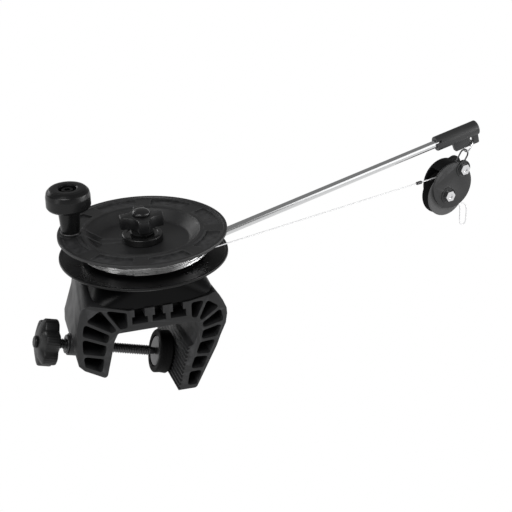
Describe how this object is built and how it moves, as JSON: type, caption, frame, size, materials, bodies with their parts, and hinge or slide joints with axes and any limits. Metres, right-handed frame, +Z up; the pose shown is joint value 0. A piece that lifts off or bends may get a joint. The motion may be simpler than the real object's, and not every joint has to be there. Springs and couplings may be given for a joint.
{
  "type": "downrigger",
  "caption": "Manual clamp-on downrigger with a flat line spool, crank knob, star drag, steel boom and a hanging end pulley.",
  "frame": {"origin": "middle of the flat seat under the clamp's bar, which rests on the gunwale", "axes": "+Z up along the spool's axis, +X across the jaws towards the boom's end, +Y along the gunwale away from the open face of the ribs"},
  "size_m": [0.4883, 0.1793, 0.1983],
  "materials": {
    "black_plastic": "moulded black, fine satin grain",
    "gloss_black_plastic": "smooth glossy black",
    "black_rubber": "dull black rubber",
    "stainless": "polished stainless steel",
    "dark_steel": "black oxide steel",
    "zinc": "bright zinc plating",
    "bronze": "plain bearing bronze",
    "friction_lining": "dull brown brake lining",
    "steel_line": "thin stranded stainless line"
  },
  "bodies": {
    "frame": {"clamp_frame": "black_plastic", "reel_base": "black_plastic", "foot_screw_front": "zinc", "foot_screw_rear": "zinc", "spindle": "stainless", "brake_disc": "friction_lining", "clamp_nut": "bronze", "boom": "stainless", "boom_bolt": "zinc", "boom_nut": "zinc", "boom_tip_cap": "black_plastic", "line_span": "steel_line"},
    "spool": {"lower_flange": "black_plastic", "upper_flange": "black_plastic", "spool_bushing": "bronze", "wound_core": "steel_line", "wound_line": "steel_line", "crank_washer": "stainless", "crank_bolt": "dark_steel", "crank_nut": "zinc"},
    "crank_handle": {"crank_knob": "gloss_black_plastic"},
    "drag_stack": {"thrust_washer": "stainless", "drag_collar": "gloss_black_plastic"},
    "drag_star": {"drag_knob": "black_plastic", "drag_insert": "zinc", "drag_dome_nut": "gloss_black_plastic"},
    "clamp_pad": {"pad_plate": "dark_steel", "pressure_pad": "black_rubber"},
    "clamp_handle": {"clamp_screw": "dark_steel", "clamp_knob": "black_plastic", "clamp_knob_cap": "gloss_black_plastic"},
    "pulley": {"keel_ring": "stainless", "hanger_link": "dark_steel", "pulley_front_plate": "black_plastic", "pulley_back_plate": "black_plastic", "top_spacer": "stainless", "axle_bolt": "stainless", "axle_nut": "zinc", "top_bolt": "stainless", "top_nut": "zinc", "sheave_bush": "bronze", "line_stop": "dark_steel", "line_loop": "steel_line", "loop_crimp": "dark_steel"},
    "sheave": {"sheave": "black_plastic"}
  },
  "joints": [
    {"name": "spool_spin", "type": "hinge", "parent": "frame", "child": "spool", "pos_m": [0, 0, 0.06], "axis": [0, 0, 1], "continuous": true},
    {"name": "crank_knob_spin", "type": "hinge", "parent": "spool", "child": "crank_handle", "pos_m": [-0.06465, 0.0172, 0.1], "axis": [0, 0, 1], "continuous": true},
    {"name": "drag_lift", "type": "slide", "parent": "frame", "child": "drag_stack", "axis": [0, 0, 1], "range_m": [0, 0.0062]},
    {"name": "drag_turn", "type": "hinge", "parent": "drag_stack", "child": "drag_star", "pos_m": [0, 0, 0.085], "axis": [0, 0, 1], "range_deg": [0, 1440]},
    {"name": "clamp_travel", "type": "slide", "parent": "frame", "child": "clamp_pad", "axis": [-0.9659, 0, 0.2588], "range_m": [0, 0.045]},
    {"name": "clamp_turn", "type": "hinge", "parent": "clamp_pad", "child": "clamp_handle", "pos_m": [-0.06599, 0, -0.0313], "axis": [-0.9659, 0, 0.2588], "range_deg": [0, 8100]},
    {"name": "pulley_swing", "type": "hinge", "parent": "frame", "child": "pulley", "pos_m": [0.36663, 0.08942, 0.07943], "axis": [-0.2924, 0.9563, 0], "range_deg": [-40, 4], "deforming": ["line_span"]},
    {"name": "sheave_spin", "type": "hinge", "parent": "pulley", "child": "sheave", "pos_m": [0.33203, 0.07885, 0.03155], "axis": [-0.2924, 0.9563, 0], "continuous": true}
  ],
  "couplings": [
    {"joint": "drag_lift", "follows": "drag_turn", "m_per_rad": 0.00023873},
    {"joint": "clamp_travel", "follows": "clamp_turn", "m_per_rad": 0.00031831}
  ]
}
